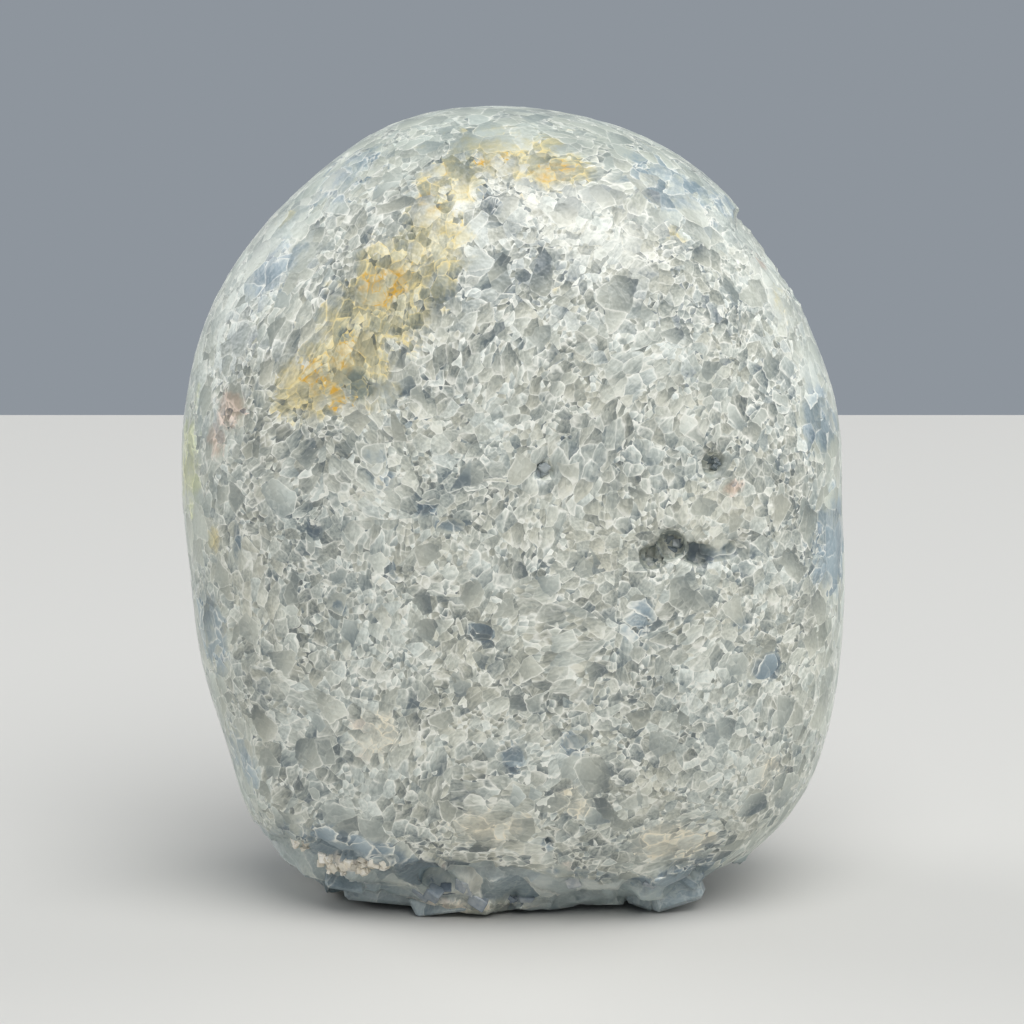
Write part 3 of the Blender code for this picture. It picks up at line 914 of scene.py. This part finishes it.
def grow_pit_crystals(bm, own, surface, rng):
    """Crystals on the floors of the open pits, all below the polished face."""
    for (x, z), (wide, high), turn, _ in ZONES["pit"]:
        away = PIT_RIM * max(wide, high)
        around = ((x + away, z), (x - away, z), (x, z + away), (x, z - away))
        rim = [behind(surface, *place)[0] for place in around]
        face = max(spot.y for spot in rim if spot) + PIT_SUNK
        for _ in range(round(PIT_CRYSTALS * wide * high) + PIT_LEAST):
            share, way = rng.random() ** 0.5, rng.uniform(0, math.tau)
            along, across = share * wide * math.cos(way), share * high * math.sin(way)
            angle = math.radians(turn)
            aside = along * math.cos(angle) - across * math.sin(angle)
            above = along * math.sin(angle) + across * math.cos(angle)
            spot, outwards = behind(surface, x + aside, z + above)
            size = [rng.uniform(*PIT_CRYSTAL_SIZE) for _ in range(3)]
            made = add_crystal(bm, Matrix.Translation(spot) @ facing(outwards, rng, PIT_TILT), size, rng)
            set_tone(made, own, rng.random())
            out = face - min(vert.co.y for vert in made)
            if out > 0:
                bmesh.ops.translate(bm, verts=made, vec=(0, out, 0))


def grow_crust_crystals(bm, own, surface, rng):
    """Tiny chalky crystals that crowd in the white crusts of the base."""
    for (x, z), (wide, high), turn, _ in ZONES["crust"][:CRUSTED]:
        for _ in range(round(CRUST_CRYSTALS * wide * high)):
            share, way = rng.random() ** 0.5, rng.uniform(0, math.tau)
            aside, above = share * wide * math.cos(way), share * high * math.sin(way)
            rise = aside * math.tan(math.radians(turn))
            spot, outwards = behind(surface, x + aside, z + above + rise)
            size = [rng.uniform(*CRUST_CRYSTAL_SIZE) for _ in range(3)]
            sunk = Matrix.Translation(spot - CRUST_SINK * outwards)
            set_tone(add_crystal(bm, sunk @ facing(outwards, rng, CRUST_TILT), size, rng), own, rng.random())


def grow_base_crystals(bm, own, surface, rng):
    """Small crystals that stand in the broken base all round the stone."""
    for index in range(BASE_CRYSTALS):
        turn = GOLDEN_TURN * index
        level = Vector((math.cos(turn), math.sin(turn), 0))
        height = BASE_CRYSTAL_TOP * rng.random() ** BASE_CROWDING
        spot, outwards = surface.ray_cast(level + Vector((0, 0, height)), -level)[:2]
        if spot is None or outwards.z < UNDERSIDE:
            continue
        size = [rng.uniform(*limits) for limits in BASE_CRYSTAL_SIZES]
        inset = outwards * (size[2] / 2 + rng.uniform(*BASE_CRYSTAL_SINK))
        made = add_crystal(bm, Matrix.Translation(spot - inset) @ facing(outwards, rng, BASE_TILT), size, rng)
        set_tone(made, own, rng.random())
        raise_to(made, FLOOR_CLEARANCE)


def crystal_material(name, stops, gloss):
    """Loose celestite crystals, unpolished: each has one tone of its own, a little cloudy inside."""
    material = bpy.data.materials.new(name)
    material.use_nodes = True
    tree = material.node_tree
    tree.nodes.clear()
    place = millimetres(tree)
    own = node(tree, "ShaderNodeAttribute", out="Fac", attribute_name="own")
    cloud = node(tree, NOISE, {"Vector": place, "Scale": CLOUDS, "Detail": 3})
    tone = node(tree, MATHS, {0: cloud, 1: CLOUDY, 2: own}, operation="MULTIPLY_ADD")
    shift = node(tree, MATHS, {0: tone, 1: CLOUDY / 2}, operation="SUBTRACT")
    colour = node(tree, "ShaderNodeValToRGB", {0: shift}, "Color", stops=stops)
    shader = node(tree, "ShaderNodeBsdfPrincipled",
                  {"Base Color": colour, "Roughness": gloss, "IOR": REFRACTION}, "BSDF")
    node(tree, "ShaderNodeOutputMaterial", {"Surface": shader}, None)
    return material


def finish_piece(piece, material):
    """Give a piece its material and let it ride with the stone."""
    piece.data.materials.clear()
    piece.data.materials.append(material)
    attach(piece, BODY)


def grow_piece(name, grow, seed, material):
    """One piece of loose crystals on the skin, each crystal with a tone of its own."""
    bm = bmesh.new()
    own = bm.verts.layers.float.new("own")
    grow(bm, own, skin_surface(), random.Random(seed))
    finish_piece(new_object(name, bm), material)


class CELESTITE_OT_pit_crystals(bpy.types.Operator):
    """Grow the small dark crystals in the open pits"""

    bl_idname = "celestite.pit_crystals"
    bl_label = "Pit crystals"

    def execute(self, context):
        # Clear crystals, dark and glassy: their darker tones are painted shade for the little light that
        # reaches into the pits
        material = crystal_material("dark_celestite", PIT_PAINTED_SHADE_TONES, PIT_GLOSS)
        grow_piece("pit_crystals", grow_pit_crystals, SEED, material)
        return {"FINISHED"}


class CELESTITE_OT_crust_crystals(bpy.types.Operator):
    """Grow the tiny white crystals of the crusts in the base"""

    bl_idname = "celestite.crust_crystals"
    bl_label = "Crust crystals"

    def execute(self, context):
        # Weathered crystals: chalky white and nearly matt
        material = crystal_material("chalky_celestite", CRUST_TONES, CRUST_GLOSS)
        grow_piece("crust_crystals", grow_crust_crystals, SEED + 2, material)
        return {"FINISHED"}


class CELESTITE_OT_base_crystals(bpy.types.Operator):
    """Grow the small crystals of the broken base"""

    bl_idname = "celestite.base_crystals"
    bl_label = "Base crystals"

    def execute(self, context):
        # Freshly broken crystals: slate blue with shiny cleavage faces
        material = crystal_material("broken_celestite", BASE_TONES, BASE_GLOSS)
        grow_piece("base_crystals", grow_base_crystals, SEED + 1, material)
        return {"FINISHED"}


class CELESTITE_OT_skin(bpy.types.Operator):
    """Make the stone's skin, with its grains in relief and its zones of colour"""

    bl_idname = "celestite.skin"
    bl_label = "Celestite skin"

    def execute(self, context):
        bm = solid_copy()
        sharp = sharp_places(bm)
        surface = BVHTree.FromBMesh(bm)
        piece = new_object("celestite_skin", bm)
        remesh = piece.modifiers.new("even", "REMESH")
        remesh.mode = "VOXEL"
        remesh.voxel_size = VOXEL
        apply_modifiers(piece)
        smooth(piece, sharp)
        points = vectors(piece.data.vertices, "co")
        set_attribute(piece.data, "broken", broken_share(points, sharp))
        set_attribute(piece.data, "base", base_share(points))
        set_attribute(piece.data, "band", band_share(vectors(piece.data.vertex_normals, "vector")))
        for name, zones in ZONES.items():
            shares = [zone_share(points, surface, zone, -1) for zone in zones]
            shares += [zone_share(points, surface, zone, 1) for zone in BACK_ZONES.get(name, ())]
            set_attribute(piece.data, name, np.max(shares, axis=0))
        piece.modifiers.new("relief", "NODES").node_group = relief_tree()
        apply_modifiers(piece)
        finish_piece(piece, celestite_material())
        piece.data.shade_smooth()
        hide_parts(NODE)
        return {"FINISHED"}


class CELESTITE_OT_front_crystals(bpy.types.Operator):
    """Grow the larger slate crystals at the front of the base"""

    bl_idname = "celestite.front_crystals"
    bl_label = "Front crystals"

    def execute(self, context):
        bm = bmesh.new()
        grow_front_crystals(bm, skin_surface(), random.Random(SEED))
        piece = new_object("front_crystals", bm)
        # They are broken celestite, slate blue like the base's larger crystals
        for name in ("base", "slate"):
            set_attribute(piece.data, name, np.ones(len(piece.data.vertices)))
        finish_piece(piece, bpy.data.materials[SKIN_MATERIAL])
        return {"FINISHED"}


def aim(thing, target):
    """Turn a lamp or camera to look at a point."""
    thing.rotation_euler = (Vector(target) - thing.location).to_track_quat("-Z", "Y").to_euler()


def add_area_light(name, place, size, power):
    """One large soft light that looks at the stone."""
    lamp = bpy.data.lights.new(name, "AREA")
    lamp.shape = "DISK"
    lamp.size = size
    lamp.energy = power
    made = bpy.data.objects.new(name, lamp)
    made.location = place
    aim(made, CAMERA_TARGET)
    bpy.context.scene.collection.objects.link(made)


def add_floor():
    """The plain pale floor: rough and matt, so it takes a soft shadow and no shine."""
    bm = bmesh.new()
    bmesh.ops.create_grid(bm, x_segments=1, y_segments=1, size=1)
    bmesh.ops.scale(bm, verts=bm.verts, vec=(FLOOR_SIDE, (FLOOR_FAR - FLOOR_NEAR) / 2, 1))
    bmesh.ops.translate(bm, verts=bm.verts, vec=(0, (FLOOR_FAR + FLOOR_NEAR) / 2, 0))
    floor = new_object("floor", bm)
    material = bpy.data.materials.new("matt_floor")
    material.use_nodes = True
    shader = material.node_tree.nodes["Principled BSDF"]
    shader.inputs["Base Color"].default_value = bpy.context.scene.celestite_studio.floor
    shader.inputs["Roughness"].default_value = FLOOR_GLOSS
    floor.data.materials.append(material)


def add_camera():
    """The camera of the reference view."""
    lens = bpy.data.cameras.new("camera")
    lens.lens = CAMERA_LENS
    camera = bpy.data.objects.new("camera", lens)
    back = Vector((0, -math.cos(CAMERA_PITCH), math.sin(CAMERA_PITCH)))
    camera.location = Vector(CAMERA_TARGET) + back * CAMERA_DISTANCE
    aim(camera, CAMERA_TARGET)
    bpy.context.scene.collection.objects.link(camera)
    bpy.context.scene.camera = camera


class CELESTITE_OT_stage(bpy.types.Operator):
    """Make the plain floor, the backdrop, the soft lights and the camera"""

    bl_idname = "celestite.stage"
    bl_label = "Studio"

    def execute(self, context):
        studio = context.scene.celestite_studio
        add_floor()
        across, behind_stone, high = RIM_PLACE
        add_area_light("key_light", KEY_PLACE, KEY_SIZE, studio.key)
        add_area_light("rim_light_left", (-across, behind_stone, high), RIM_SIZE, studio.rim)
        add_area_light("rim_light_right", RIM_PLACE, RIM_SIZE, RIM_RIGHT * studio.rim)
        world = bpy.data.worlds.new("backdrop")
        world.use_nodes = True
        world.node_tree.nodes["Background"].inputs["Color"].default_value = studio.wall
        context.scene.world = world
        context.scene.view_settings.view_transform = "Standard"
        add_camera()
        return {"FINISHED"}


class CELESTITE_PT_panel(bpy.types.Panel):
    """The stone's sizes, colours and steps"""

    bl_idname = "CELESTITE_PT_panel"
    bl_label = "Celestite"
    bl_space_type = "VIEW_3D"
    bl_region_type = "UI"
    bl_category = "Celestite"

    def draw(self, context):
        for settings in GROUPS:
            group = getattr(context.scene, settings)
            for name in group.__annotations__:
                self.layout.prop(group, name)
        for operator in OPERATORS:
            self.layout.operator(operator.bl_idname)


GROUPS = {
    "celestite_grains": CelestiteGrains,
    "celestite_colours": CelestiteColours,
    "celestite_studio": CelestiteStudio,
}
OPERATORS = (
    CELESTITE_OT_stage, CELESTITE_OT_skin, CELESTITE_OT_front_crystals, CELESTITE_OT_pit_crystals,
    CELESTITE_OT_base_crystals, CELESTITE_OT_crust_crystals,
)
CLASSES = (*GROUPS.values(), *OPERATORS, CELESTITE_PT_panel)


def register():
    """Register the add-on."""
    for made in CLASSES:
        bpy.utils.register_class(made)
    for name, group in GROUPS.items():
        setattr(bpy.types.Scene, name, bpy.props.PointerProperty(type=group))


def unregister():
    """Unregister the add-on."""
    for name in GROUPS:
        delattr(bpy.types.Scene, name)
    for made in reversed(CLASSES):
        bpy.utils.unregister_class(made)


def main():
    """Make every piece in order."""
    register()
    bpy.ops.celestite.stage()
    bpy.ops.celestite.skin()
    bpy.ops.celestite.front_crystals()
    bpy.ops.celestite.pit_crystals()
    bpy.ops.celestite.base_crystals()
    bpy.ops.celestite.crust_crystals()


if __name__ == "__main__":
    main()
